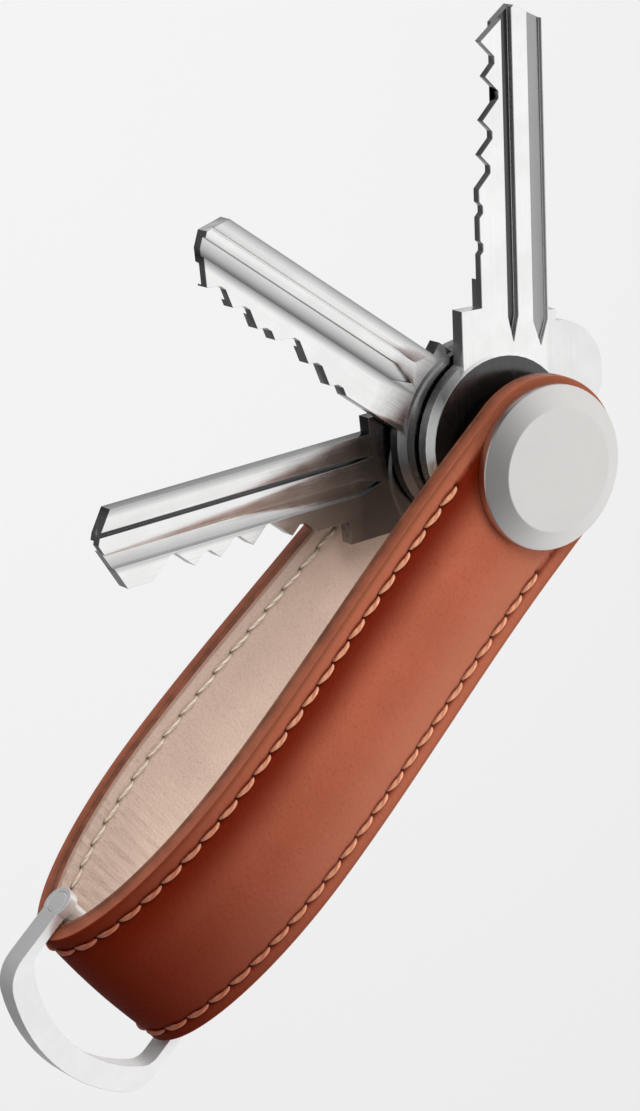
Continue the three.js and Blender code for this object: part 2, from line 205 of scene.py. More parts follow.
class MetalSettings(PropertyGroup):
    """Sizes and colours of the caps, keys, ring and washers"""

    cap_rim: length("Cap rim", "Height of the straight rim of a cap", 1.25)
    cap_bevel: length("Cap bevel", "Height of the sloping face of a cap", 1.35)
    cap_face: length("Cap face radius", "Radius of the flat face of a cap", 7.3)
    cap_fillet: length("Cap fillet", "Rounding of the edges of a cap", 0.3)
    post_radius: length("Post radius", "Radius of the barrel that the keys turn on", 2.9)
    key_bevel: length("Key bevel", "Width of the broken edges of a key", 0.13)
    blade_step: length("Blade step", "How far a blade lies below the disc of its bow", 0.3)
    ring_bevel: length("Ring bevel", "Width of the rounded edges of the D-ring", 0.4)
    satin: colour("Satin steel", "Colour of the caps", 0.72, 0.7, 0.685)
    nickel: colour("Nickel", "Colour of the keys", 0.93, 0.93, 0.925)
    # Painted shade and reflection of the keys: groove floors, disc tops, lines along the blades and the
    # shadow near the post
    key_shade: colour("Painted_shade", "Colour of the sunk faces of the keys", 0.1, 0.1, 0.102)
    ring: colour("Ring steel", "Colour of the D-ring", 0.88, 0.87, 0.87)
    nylon: colour("Nylon", "Colour of the washers", 0.012, 0.012, 0.013)
    brass: colour("Brass", "Colour of the bushings", 0.62, 0.43, 0.17)


class StudioSettings(PropertyGroup):
    """Camera and floor"""

    azimuth: angle("Azimuth", "Turn of the camera round the object, from a view along +Y", 22.06)
    elevation: angle("Elevation", "Height of the camera above the horizon", 53.13)
    roll: angle("Roll", "Turn of the camera about its own axis", 109.09)
    distance: length("Distance", "From the camera to what it aims at", 456.4)
    aim_x: length("Aim X", "Place along X that the camera aims at", 24.6)
    aim_y: length("Aim Y", "Place along Y that the camera aims at", -11.97)
    lens: FloatProperty(name="Lens", description="Focal length in millimetres", default=129.6)
    floor_drop: length("Floor drop", "How far below the object the floor lies", 150)
    backdrop: colour("Backdrop", "Glow of the floor", 0.62, 0.62, 0.62)


class OrganiserSettings(PropertyGroup):
    """All settings of the organiser"""

    strap: PointerProperty(type=StrapSettings)
    metal: PointerProperty(type=MetalSettings)
    studio: PointerProperty(type=StudioSettings)


def settings():
    return bpy.context.scene.key_organiser


# ---- Meshes ----


def signed_volume(points, quads):
    """Sum of each face's two corner triple products, which is positive if the faces look outwards."""
    a, b, c, d = (points[quads[:, i]] for i in range(4))
    return np.einsum("ij,ij->", a, np.cross(b, c)) + np.einsum("ij,ij->", a, np.cross(c, d))


def grid_quads(rows, columns, close_rows=False, close_columns=False):
    """Corner numbers of the faces of a grid of points, which may close on itself either way."""
    row = np.arange(rows if close_rows else rows - 1)[:, None]
    column = np.arange(columns if close_columns else columns - 1)[None, :]
    next_row, next_column = (row + 1) % rows, (column + 1) % columns
    corners = [row * columns + column, next_row * columns + column]
    corners += [next_row * columns + next_column, row * columns + next_column]
    return np.stack(corners, axis=-1).reshape(-1, 4)


def surface(name, points, quads, attributes=None, crisp=35):
    """Makes a smooth-shaded object at the origin, with its faces turned away from the origin if
    they look inwards. Edges sharper than crisp degrees stay sharp.
    """
    flat = points.reshape(-1, 3)
    if signed_volume(flat, quads) < 0:
        quads = quads[:, ::-1]
    mesh = bpy.data.meshes.new(name)
    mesh.from_pydata(flat.tolist(), [], quads.tolist())
    for key, values in (attributes or {}).items():
        layer = mesh.attributes.new(key, "FLOAT", "POINT")
        spread = np.broadcast_to(values, points.shape[:-1])
        layer.data.foreach_set("value", spread.ravel().astype(np.float32))
    work = bmesh.new()
    work.from_mesh(mesh)
    bmesh.ops.remove_doubles(work, verts=work.verts, dist=1e-7)
    bmesh.ops.dissolve_degenerate(work, edges=work.edges, dist=1e-8)
    work.to_mesh(mesh)
    work.free()
    mesh.shade_smooth()
    mesh.set_sharp_from_angle(angle=math.radians(crisp))
    made = bpy.data.objects.new(name, mesh)
    bpy.context.scene.collection.objects.link(made)
    return made


def finish_piece(piece, body, material, replaced=()):
    """Gives a piece its material, hangs it on the body that it rides on and hides the solids that it
    stands for.
    """
    piece.data.materials.clear()
    piece.data.materials.append(material)
    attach(piece, body)
    if replaced:
        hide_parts(*replaced)


def rounded(corners, radii, steps):
    """Replaces each corner of an open line by an arc that touches both of its sides."""
    line = [np.array(corners[0])]
    for before, corner, after, radius in zip(corners, corners[1:], corners[2:], radii):
        corner = np.array(corner)
        towards = [np.array(p) - corner for p in (before, after)]
        lengths = [np.linalg.norm(t) for t in towards]
        a, b = (t / size for t, size in zip(towards, lengths))
        half = math.acos(np.clip(a @ b, -1, 1)) / 2
        radius = min(radius, 0.45 * min(lengths) * math.tan(half))
        centre = corner + (a + b) / np.linalg.norm(a + b) * radius / math.sin(half)
        start, end = (corner + t * radius / math.tan(half) - centre for t in (a, b))
        share = np.linspace(0, 1, steps + 1)[:, None]
        arc = start * (1 - share) + end * share
        line.extend(centre + arc / np.linalg.norm(arc, axis=1)[:, None] * radius)
    line.append(np.array(corners[-1]))
    return np.array(line)


def turned(name, profile, steps=144, closed=False):
    """A body of revolution: each (radius, height) of the profile carried round the Z axis."""
    turn = np.linspace(0, 2 * math.pi, steps, endpoint=False)
    radius, height = profile[:, 0][:, None], profile[:, 1][:, None]
    points = np.stack(
        [radius * np.cos(turn), radius * np.sin(turn), height + 0 * turn], axis=-1
    )
    return surface(name, points, grid_quads(len(profile), steps, closed, True))


def washer(name, node, inner, fillet):
    """A flat ring that fills a node's box, with its corners rounded."""
    low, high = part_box(node)
    outer, middle = high.x, (low.z + high.z) / 2
    corners = [(inner, middle), (inner, low.z), (outer, low.z), (outer, high.z), (inner, high.z)]
    line = rounded([*corners, (inner, middle)], [fillet] * 4, 4)
    return turned(name, line[:-1], closed=True)


def softened_copy(name, node, width, segments=2):
    """A merged copy of a node's solid with its flat faces joined and its edges broken by a bevel."""
    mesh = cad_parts[node].data.copy()
    mesh.name = name
    work = bmesh.new()
    work.from_mesh(mesh)
    bmesh.ops.remove_doubles(work, verts=work.verts, dist=2e-6)
    bmesh.ops.dissolve_limit(
        work,
        angle_limit=math.radians(0.5),
        verts=work.verts,
        edges=work.edges,
        use_dissolve_boundaries=False,
    )
    work.to_mesh(mesh)
    work.free()
    mesh.shade_smooth()
    mesh.set_sharp_from_angle(angle=math.radians(40))
    made = bpy.data.objects.new(name, mesh)
    bpy.context.scene.collection.objects.link(made)
    bevel = made.modifiers.new("Broken edges", "BEVEL")
    bevel.width = width
    bevel.segments = segments
    bevel.limit_method = "ANGLE"
    bevel.angle_limit = BEVEL_ANGLE
    bevel.miter_outer = "MITER_ARC"
    bevel.harden_normals = True
    return made


def mark_level_faces(mesh):
    """Stores 1 on the faces that look straight up and 0 on the rest, as the attribute "level"."""
    normals = np.empty(3 * len(mesh.polygons))
    mesh.polygons.foreach_get("normal", normals)
    level = mesh.attributes.new("level", "FLOAT", "FACE")
    level.data.foreach_set("value", (normals[2::3] > LEVEL).astype(np.float32))


# ---- Strap ----


class LoopLine:
    """Outside line of the loop from above the post on the front panel round the fold to the rear.

    Each panel keeps the post's height, then swells by a smoothstep to the belly's height. The fold
    is half an ellipse, each point of which is found from the direction of its normal. The rear
    half mirrors the front half. Places along the line are given by their distance from its start.
    """

    def __init__(self, belly_start, fold_length):
        fold_start = FOLD_TIP - fold_length
        x = np.linspace(0, fold_start, 1500, endpoint=False)
        t = np.clip((x - belly_start) / (fold_start - belly_start), 0, 1)
        swell = BELLY_HALF - POST_HALF
        slope = swell * 6 * t * (1 - t) / (fold_start - belly_start)
        size = np.hypot(slope, 1)
        turn = np.linspace(math.pi / 2, 0, 1200)
        reach = np.hypot(fold_length * np.cos(turn), BELLY_HALF * np.sin(turn))
        px = np.concatenate([x, fold_start + fold_length**2 * np.cos(turn) / reach])
        panel = POST_HALF + swell * t * t * (3 - 2 * t)
        pz = np.concatenate([panel, BELLY_HALF**2 * np.sin(turn) / reach])
        nx = np.concatenate([-slope / size, np.cos(turn)])
        nz = np.concatenate([1 / size, np.sin(turn)])
        both = np.array([px, pz, nx, nz])
        mirror = (both * np.array([[1], [-1], [1], [-1]]))[:, -2::-1]
        self.table = np.concatenate([both, mirror], axis=1)
        steps = np.hypot(np.diff(self.table[0]), np.diff(self.table[1]))
        self.distance = np.concatenate([[0], np.cumsum(steps)])
        self.length = self.distance[-1]

    def at(self, distance):
        """The (x, z) point and outward normal (x, z) at each distance, as four arrays."""
        return [np.interp(distance, self.distance, values) for values in self.table]

    def rows(self, count, end_steps=20):
        """Row places of a sheet: a quarter turn of one round end, the loop, and the other end."""
        quarter = np.linspace(math.pi / 2, 0, end_steps, endpoint=False)
        along = np.concatenate([np.zeros(end_steps), np.linspace(0, self.length, count + 1)])
        along = np.concatenate([along, np.full(end_steps, self.length)])
        turn = np.concatenate([quarter, np.zeros(count + 1), quarter[::-1]])
        return along, turn

    def sheet(self, along, turn, side, inset, depth):
        """Points of a sheet: side and inset from the edge set the place across it, depth the place
        below the outside line. At the round ends the rows fan round the post.
        """
        x, z, nx, nz = (values[:, None] for values in self.at(along))
        reach = HALF_WIDTH - inset
        bend = turn[:, None]
        across = side * reach * np.cos(bend)
        px = x - depth * nx - reach * np.sin(bend)
        return np.stack([px, across, MIDDLE_Z + z - depth * nz], axis=-1)

    def distance_along(self, along, turn):
        """Distance along the strap's edge, negative round the front end."""
        ends = np.where(along > 0, 1, -1) * HALF_WIDTH * turn
        return along + ends


def loop_line():
    strap = settings().strap
    return LoopLine(strap.belly_start, strap.fold_length)


def stitch_count(line):
    return round(line.length / settings().strap.pitch)


def sheet_profile(outer, inner, outer_round, inner_round):
    """Closed section of a sheet as side, inset and depth, with its four corners rounded.

    Both faces run edge to edge, with points that crowd towards the edges by a power.
    """
    fine = 38
    share = np.linspace(0, 1, fine) ** CROWDING
    corner = np.linspace(0, math.pi / 2, 7)

    def face(radius, depth):
        inset = radius + (HALF_WIDTH - radius) * share
        return inset, np.full(fine, depth)

    def arc(radius, depth, towards):
        return radius * (1 - np.sin(corner)), depth + towards * radius * (1 - np.cos(corner))

    top, bottom = face(outer_round, outer), face(inner_round, inner)
    top_arc, bottom_arc = arc(outer_round, outer, 1), arc(inner_round, inner, -1)
    half = [
        np.concatenate([b[::-1], ba[:-1], ta[::-1], t[1:]])
        for b, ba, ta, t in zip(bottom, bottom_arc, top_arc, top)
    ]
    inset = np.concatenate([half[0], half[0][-2:0:-1]])
    depth = np.concatenate([half[1], half[1][-2:0:-1]])
    side = np.concatenate([np.full(len(half[0]), -1.0), np.full(len(half[0]) - 2, 1.0)])
    return side, inset, depth


def needle_holes(line, distance, inset):
    """1 where a needle went through, falling off as a bell round it, on the stitch rows only."""
    pitch = line.length / stitch_count(line)
    gap = (distance / pitch + 0.5) % 1 - 0.5
    lengthways = np.exp(-((gap * pitch / HOLE_ALONG) ** 2))
    crossways = np.exp(-(((inset - STITCH_INSET) / HOLE_ACROSS) ** 2))
    sewn = (distance > STITCH_START) & (distance < line.length - STITCH_START)
    return lengthways * crossways * sewn


def stitch_channel(inset, width=0.5 * MM):
    """A bell-shaped channel along the stitch rows."""
    return np.exp(-(((inset - STITCH_INSET) / width) ** 2))


def fold_share(line, distance, reach=24 * MM):
    """How far a place lies in the fold: 1 at its tip, falling off as a bell along the strap."""
    return np.exp(-(((distance - line.length / 2) / reach) ** 2))


def strap_attributes(line, along, turn, side, inset):
    """What the leathers' materials read: a point's place on the strap and its closeness to a hole."""
    distance = line.distance_along(along, turn)[:, None]
    return {
        "along": distance,
        "inset": inset[None, :],
        "across": (side * (HALF_WIDTH - inset))[None, :],
        "fold": fold_share(line, distance),
        "hole": needle_holes(line, distance, inset[None, :]),
    }


def outer_leather():
    """The outer sheet. Its face is pressed in by a channel and needle holes along each stitch row,
    and between the rows it swells by a sine arch that sets in smoothly past the caps.
    """
    strap = settings().strap
    line = loop_line()
    along, turn = line.rows(8 * stitch_count(line))
    inner = LINING_DEPTH - strap.layer_gap
    side, inset, depth = sheet_profile(0, inner, strap.edge_round, HIDDEN_ROUND)
    distance = line.distance_along(along, turn)[:, None]
    face = depth[None, :] < strap.edge_round
    relief = strap.channel_depth * stitch_channel(inset)[None, :] * np.ones_like(distance)
    relief = relief + LEATHER_HOLE * needle_holes(line, distance, inset[None, :])
    inwards = np.clip((inset - STITCH_INSET) / (HALF_WIDTH - STITCH_INSET), 0, 1)
    swell = np.sin(math.pi / 2 * inwards)
    from_end = np.minimum(distance, line.length - distance)
    free = np.clip((from_end - SEAT_LENGTH) / SEAT_RISE, 0, 1)
    relief = relief - strap.crown * swell[None, :] * free**2 * (3 - 2 * free)
    points = line.sheet(along, turn, side, inset, depth + relief * face)
    attributes = strap_attributes(line, along, turn, side, inset)
    quads = grid_quads(len(along), len(inset), False, True)
    return surface("strap_waxed_leather", points, quads, attributes, 60)


def lining_leather():
    """The lining sheet. In the fold it has creases across it, two sine waves whose phase wanders."""
    strap = settings().strap
    line = loop_line()
    thickness = LINING_DEPTH + strap.lining_thickness
    along, turn = line.rows(8 * stitch_count(line))
    side, inset, depth = sheet_profile(LINING_DEPTH, thickness, HIDDEN_ROUND, LINING_ROUND)
    distance = line.distance_along(along, turn)[:, None]
    across = (side * (HALF_WIDTH - inset))[None, :]
    face = (depth > thickness - LINING_ROUND)[None, :]
    wander = np.sin(across / WANDER_LONG) + 0.6 * np.sin(across / WANDER_SHORT + 1.7)
    waves = np.sin(distance / CREASE_LONG + 1.1 * wander)
    waves = waves + 0.7 * np.sin(distance / CREASE_SHORT - wander)
    creased = fold_share(line, distance, CREASE_REACH)
    crease = strap.crease * creased * waves * (1 - stitch_channel(inset, 0.9 * MM))
    channel = -0.6 * strap.channel_depth * stitch_channel(inset)[None, :]
    relief = channel - LINING_HOLE * needle_holes(line, distance, inset[None, :])
    points = line.sheet(along, turn, side, inset, depth + (relief + crease * 0.5) * face)
    attributes = strap_attributes(line, along, turn, side, inset)
    quads = grid_quads(len(along), len(inset), False, True)
    return surface("strap_lining_leather", points, quads, attributes, 60)


def painted_edge():
    """A bead round the strap's whole cut edge: a flattened arch carried along the outline."""
    strap = settings().strap
    line = loop_line()
    thickness = LINING_DEPTH + strap.lining_thickness
    there, bend = line.rows(6 * stitch_count(line), 24)
    along = np.concatenate([there, there[-2:0:-1]])
    turn = np.concatenate([bend, bend[-2:0:-1]])
    side = np.concatenate([np.full(len(there), -1.0), np.full(len(there) - 2, 1.0)])[:, None]
    arch = np.linspace(0, math.pi, 13)
    outset = strap.edge_bulge * np.sin(arch) ** 0.5
    depth = thickness / 2 - (thickness / 2 - 0.2 * MM) * np.cos(arch)
    outset = np.concatenate([outset, [-BEAD_TUCK, -BEAD_TUCK]])
    depth = np.concatenate([depth, [thickness - 0.3 * MM, 0.3 * MM]])
    points = line.sheet(along, turn, side, -outset[None, :], depth[None, :])
    distance = line.distance_along(along, turn)[:, None]
    attributes = {"along": distance + 0 * depth, "layer": (depth / thickness)[None, :]}
    quads = grid_quads(len(along), len(depth), True, True)
    return surface("strap_painted_edge", points, quads, attributes, 60)


def stitches(name, side, face_depth, outwards, thread):
    """A row of lockstitches. Each is a flattened tube that rises by a power of a sine from one
    needle hole and dives into the next, lies askew to the row by a sine, and has the two strands
    of its thread as a ripple that twists along it.
    """
    strap = settings().strap
    line = loop_line()
    count = stitch_count(line)
    pitch = line.length / count
    first = math.ceil(STITCH_START / pitch)
    starts = np.arange(first, count - first) * pitch
    rings, sides = 15, 8
    t = np.linspace(0, 1, rings)
    distance = starts[:, None] + t * pitch
    x, z, nx, nz = line.at(distance)
    rise = -1.1 * thread + 1.6 * thread * np.sin(math.pi * t) ** 0.6
    askew = -strap.askew * np.sin(math.pi * (t - 0.5)) * outwards
    size = np.sin(math.pi * np.clip(t, 0.02, 0.98)) ** 0.45
    size[[0, -1]] = 0
    around = np.linspace(0, 2 * math.pi, sides, endpoint=False)
    ripple = 1 + 0.08 * np.cos(2 * around[None, :] - 2 * math.pi * 2 * t[:, None])
    radius = thread * size[:, None] * ripple
    up = rise[:, None] + 0.8 * radius * np.sin(around)
    sideways = askew[:, None] + radius * np.cos(around)
    lift = outwards * up - face_depth
    px = x[..., None] + lift * nx[..., None]
    pz = MIDDLE_Z + z[..., None] + lift * nz[..., None]
    py = side * (HALF_WIDTH - STITCH_INSET) + sideways + 0 * px
    points = np.stack([px, py, pz], axis=-1)
    tube = grid_quads(rings, sides, False, True)
    quads = (tube[None] + np.arange(len(starts))[:, None, None] * rings * sides).reshape(-1, 4)
    strand = (2 * around[None, :] + 12 * t[:, None])[None] + 0 * px
    fold = fold_share(line, distance)[..., None] + 0 * px
    return surface(name, points, quads, {"strand": strand, "fold": fold}, 80)


# ---- Materials ----


def add(tree, kind, sockets=None, **options):
    """Adds a shader node. A socket is given a value, or another node's output to link to."""
    made = tree.nodes.new(kind)
    for key, value in options.items():
        setattr(made, key, value)
    for key, value in (sockets or {}).items():
        if isinstance(value, bpy.types.NodeSocket):
            tree.links.new(value, made.inputs[key])
        else:
            made.inputs[key].default_value = value
    return made


def new_material(name):
    """A material with an empty Principled shader, as (material, node tree, shader)."""
    material = bpy.data.materials.new(name)
    material.use_nodes = True
    return material, material.node_tree, material.node_tree.nodes["Principled BSDF"]


def attribute(tree, name):
    return add(tree, "ShaderNodeAttribute", attribute_name=name).outputs["Fac"]


def place(tree):
    """Coordinates on the piece itself, so that a pattern moves with it."""
    return add(tree, "ShaderNodeTexCoord").outputs["Object"]


def noise(tree, scale, detail, roughness=0.55, vector=None):
    sockets = {"Scale": scale, "Detail": detail, "Roughness": roughness}
    sockets["Vector"] = place(tree) if vector is None else vector
    return add(tree, "ShaderNodeTexNoise", sockets).outputs["Fac"]


def maths(tree, operation, first, second=0.0):
    return add(tree, "ShaderNodeMath", {0: first, 1: second}, operation=operation).outputs[0]


def remap(tree, value, low, high, to_low=0.0, to_high=1.0):
    """Runs smoothly from to_low to to_high while the value runs from low to high."""
    sockets = {"Value": value, "From Min": low, "From Max": high}
    sockets.update({"To Min": to_low, "To Max": to_high})
    made = add(tree, "ShaderNodeMapRange", sockets, interpolation_type="SMOOTHSTEP")
    return made.outputs["Result"]


def mix(tree, share, first, second):
    """The first colour where the share is 0 and the second where it is 1."""
    made = add(tree, "ShaderNodeMix", data_type="RGBA")
    for socket, value in ((0, share), (6, first), (7, second)):
        if isinstance(value, bpy.types.NodeSocket):
            tree.links.new(value, made.inputs[socket])
        else:
            made.inputs[socket].default_value = value if socket == 0 else (*value, 1)[:4]
    return made.outputs[2]


def stepped(tree, value, steps):
    """A share that runs straight between (millimetres, share) steps and is level beyond them."""
    low, high = steps[0][0], steps[-1][0]
    sockets = {"Value": value, "From Min": low * MM, "From Max": high * MM}
    along_ramp = add(tree, "ShaderNodeMapRange", sockets).outputs["Result"]
    ramp = add(tree, "ShaderNodeValToRGB", {"Fac": along_ramp})
    elements = ramp.color_ramp.elements
    while len(elements) < len(steps):
        elements.new(0.5)
    for element, (millimetres, share) in zip(elements, steps):
        element.position = (millimetres - low) / (high - low)
        element.color = (share, share, share, 1)
    return ramp.outputs["Color"]


def bump(tree, height, strength, distance, below=None):
    """A raised pattern, laid over another one if below is given."""
    sockets = {"Height": height, "Strength": strength, "Distance": distance}
    if below is not None:
        sockets["Normal"] = below
    return add(tree, "ShaderNodeBump", sockets).outputs["Normal"]


def grain(tree, cell, depth, strength):
    """Leather grain: rounded cells with narrow valleys over finer pores."""
    sockets = {"Vector": place(tree), "Scale": 1 / cell}
    cells = add(tree, "ShaderNodeTexVoronoi", sockets, feature="SMOOTH_F1").outputs["Distance"]
    pores = bump(tree, noise(tree, 2.6 / cell, 2), strength * 0.6, depth * 0.5)
    return bump(tree, maths(tree, "MULTIPLY", cells, -1.0), strength, depth, pores)


def shade(colour_value, factor):
    return tuple(channel * factor for channel in colour_value)


def cover(tree, shader, face, rough, normal):
    """Links a material's colour, roughness and raised pattern to its shader."""
    for socket, value in (("Base Color", face), ("Roughness", rough), ("Normal", normal)):
        tree.links.new(value, shader.inputs[socket])


def waxed_leather():
    """Pull-up leather: clouded wax colour, dark red margins outside the stitches, painted shade along
    the stitch rows, in the needle holes and on the near side, a painted highlight on the far side, and
    a fold darkened by painted shade over some pulled-up wear.
    """
    strap = settings().strap
    base, dark_and_shade = tuple(strap.leather), tuple(strap.leather_dark_and_shade)
    material, tree, shader = new_material("waxed tan leather")
    clouds = remap(tree, noise(tree, 95, 4, 0.6), 0.32, 0.68)
    face = mix(tree, clouds, shade(base, 0.93), shade(base, 1.05))
    speckle = remap(tree, noise(tree, 2400, 2), 0.52, 0.75)
    face = mix(tree, maths(tree, "MULTIPLY", speckle, 0.22), face, dark_and_shade)
    # Painted shade in the stitch channel: darker within 0.85 mm of each stitch row
    off_row = maths(tree, "SUBTRACT", attribute(tree, "inset"), STITCH_INSET)
    off_row = maths(tree, "ABSOLUTE", off_row)
    face = mix(tree, remap(tree, off_row, 0.2 * MM, 0.85 * MM, 0.6, 0.0), face, dark_and_shade)
    margin = remap(tree, attribute(tree, "inset"), 1.3 * MM, 1.9 * MM, 0.4, 0.0)
    face = mix(tree, margin, face, MARGIN_RED)
    # Painted shade in a band along the near side of the face, and a painted highlight towards its far
    # side
    inside = remap(tree, attribute(tree, "inset"), 1.8 * MM, 2.3 * MM)
    shade_start, shade_end = 3 * MM - HALF_WIDTH, 8.5 * MM - HALF_WIDTH
    near = remap(tree, attribute(tree, "across"), shade_start, shade_end, 1.0, 0.0)
    highlight = remap(tree, attribute(tree, "across"), 0.5 * MM, HALF_WIDTH - 3.5 * MM, 0.0, 0.4)
    face = mix(tree, maths(tree, "MULTIPLY", highlight, inside), face, HIGHLIGHT_TAN)
    face = mix(tree, maths(tree, "MULTIPLY", near, inside), face, dark_and_shade)
    rim = remap(tree, attribute(tree, "inset"), 0.1 * MM, 0.75 * MM, 1.0, 0.0)
    face = mix(tree, maths(tree, "MULTIPLY", rim, 0.7), face, tuple(strap.edge))
    # Darker towards the fold's tip: mostly painted shade, with some pulled-up wear
    face = mix(tree, attribute(tree, "fold"), face, dark_and_shade)
    # Painted shade in the needle holes
    face = mix(tree, attribute(tree, "hole"), face, shade(dark_and_shade, 0.25))
    shader.inputs["Specular IOR Level"].default_value = 0.05
    rough = remap(tree, noise(tree, 260, 3), 0.3, 0.7, 0.42, 0.6)
    cover(tree, shader, face, rough, grain(tree, 0.42 * MM, 0.07 * MM, 0.6))
    return material


def edge_paint():
    """Burnished edge paint: brown, with the layers just showing and a few scuffs."""
    strap = settings().strap
    base = tuple(strap.edge)
    material, tree, shader = new_material("burnished edge paint")
    layer = attribute(tree, "layer")
    off_seam = maths(tree, "ABSOLUTE", maths(tree, "SUBTRACT", layer, 0.67))
    seam = remap(tree, off_seam, 0.0, 0.05, 1.0, 0.0)
    clouds = remap(tree, noise(tree, 420, 4), 0.3, 0.7)
    face = mix(tree, clouds, shade(base, 0.75), shade(base, 1.35))
    warm = remap(tree, layer, 0.1, 0.75, 1.0, 0.0)
    face = mix(tree, maths(tree, "MULTIPLY", warm, 0.55), face, WARM_EDGE)
    face = mix(tree, maths(tree, "MULTIPLY", seam, 0.5), face, shade(base, 0.3))
    rough = remap(tree, noise(tree, 900, 3), 0.3, 0.7, 0.4, 0.62)
    rub = bump(tree, noise(tree, 2200, 4), 0.5, 0.06 * MM)
    sunk = bump(tree, maths(tree, "MULTIPLY", seam, -1.0), 0.5, 0.08 * MM, rub)
    cover(tree, shader, face, rough, sunk)
    return material


def lining_finish():
    """Soft beige lining leather: fine grain, faint clouds, edge paint along its edges, and painted
    shade in the creased fold and in the needle holes.
    """
    strap = settings().strap
    base = tuple(strap.lining)
    material, tree, shader = new_material("beige lining leather")
    clouds = remap(tree, noise(tree, 140, 4), 0.3, 0.7)
    face = mix(tree, clouds, shade(base, 0.94), shade(base, 1.04))
    speckle = remap(tree, noise(tree, 3600, 2), 0.5, 0.74)
    face = mix(tree, maths(tree, "MULTIPLY", speckle, 0.3), face, shade(base, 0.5))
    rim = remap(tree, attribute(tree, "inset"), 0.1 * MM, 0.5 * MM, 0.6, 0.0)
    face = mix(tree, rim, face, tuple(strap.edge))
    # Painted shade in the fold
    face = mix(tree, maths(tree, "MULTIPLY", attribute(tree, "fold"), 0.2), face, shade(base, 0.55))
    # Painted shade in the needle holes
    face = mix(tree, attribute(tree, "hole"), face, shade(base, 0.12))
    rough = remap(tree, noise(tree, 500, 3), 0.3, 0.7, 0.55, 0.72)
    shader.inputs["Specular IOR Level"].default_value = 0.35
    shader.inputs["Sheen Weight"].default_value = 0.15
    shader.inputs["Sheen Roughness"].default_value = 0.5
    strip = {"X": maths(tree, "MULTIPLY", attribute(tree, "along"), 1500.0)}
    strip["Y"] = maths(tree, "MULTIPLY", attribute(tree, "across"), 170.0)
    folds = noise(tree, 1.0, 3, 0.6, add(tree, "ShaderNodeCombineXYZ", strip).outputs["Vector"])
    folds = maths(tree, "MULTIPLY", folds, attribute(tree, "fold"))
    creased = bump(tree, folds, 0.9, 0.5 * MM, grain(tree, 0.34 * MM, 0.075 * MM, 0.9))
    cover(tree, shader, face, rough, creased)
    return material


def thread_finish(name, base, shaded, rub):
    """Waxed two-ply thread: painted shade darkens the strands' sides, fine fibres roughen it, and in
    the fold it takes up a painted shade colour by the share rub.
    """
    material, tree, shader = new_material(name)
    twist = maths(tree, "COSINE", attribute(tree, "strand"))
    # Painted shade on the strands' sides, between the plies
    face = mix(tree, remap(tree, twist, -1.0, 0.6), shade(base, 0.55), shade(base, 1.1))
    face = mix(tree, remap(tree, noise(tree, 1500, 3), 0.35, 0.7), face, shade(base, 0.8))
    # Painted shade in the fold, by the share rub
    face = mix(tree, maths(tree, "MULTIPLY", attribute(tree, "fold"), rub), face, shaded)
    tree.links.new(face, shader.inputs["Base Color"])
    shader.inputs["Roughness"].default_value = 0.62
    shader.inputs["Sheen Weight"].default_value = 0.2
    fibres = bump(tree, noise(tree, 7000, 2), 0.4, 0.03 * MM)
    tree.links.new(bump(tree, twist, 0.5, 0.05 * MM, fibres), shader.inputs["Normal"])
    return material


def metal(
    name, base, low, high, cloud=900, texture=6000, strength=0.05, tones=(0.94, 1.04), polish=1.0
):
    """Bare metal whose roughness drifts between two values, with a faint surface texture. A lower
    polish makes part of its light diffuse, as on a blasted finish.
    """
    material, tree, shader = new_material(name)
    shader.inputs["Metallic"].default_value = polish
    tint = remap(tree, noise(tree, cloud, 3), 0.3, 0.7)
    face = mix(tree, tint, *(shade(base, tone) for tone in tones))
    rough = remap(tree, noise(tree, cloud * 0.6, 4), 0.3, 0.7, low, high)
    cover(tree, shader, face, rough, bump(tree, noise(tree, texture, 2), strength, 0.02 * MM))
    return material


def mapping(tree, sockets):
    return add(tree, "ShaderNodeMapping", sockets).outputs["Vector"]


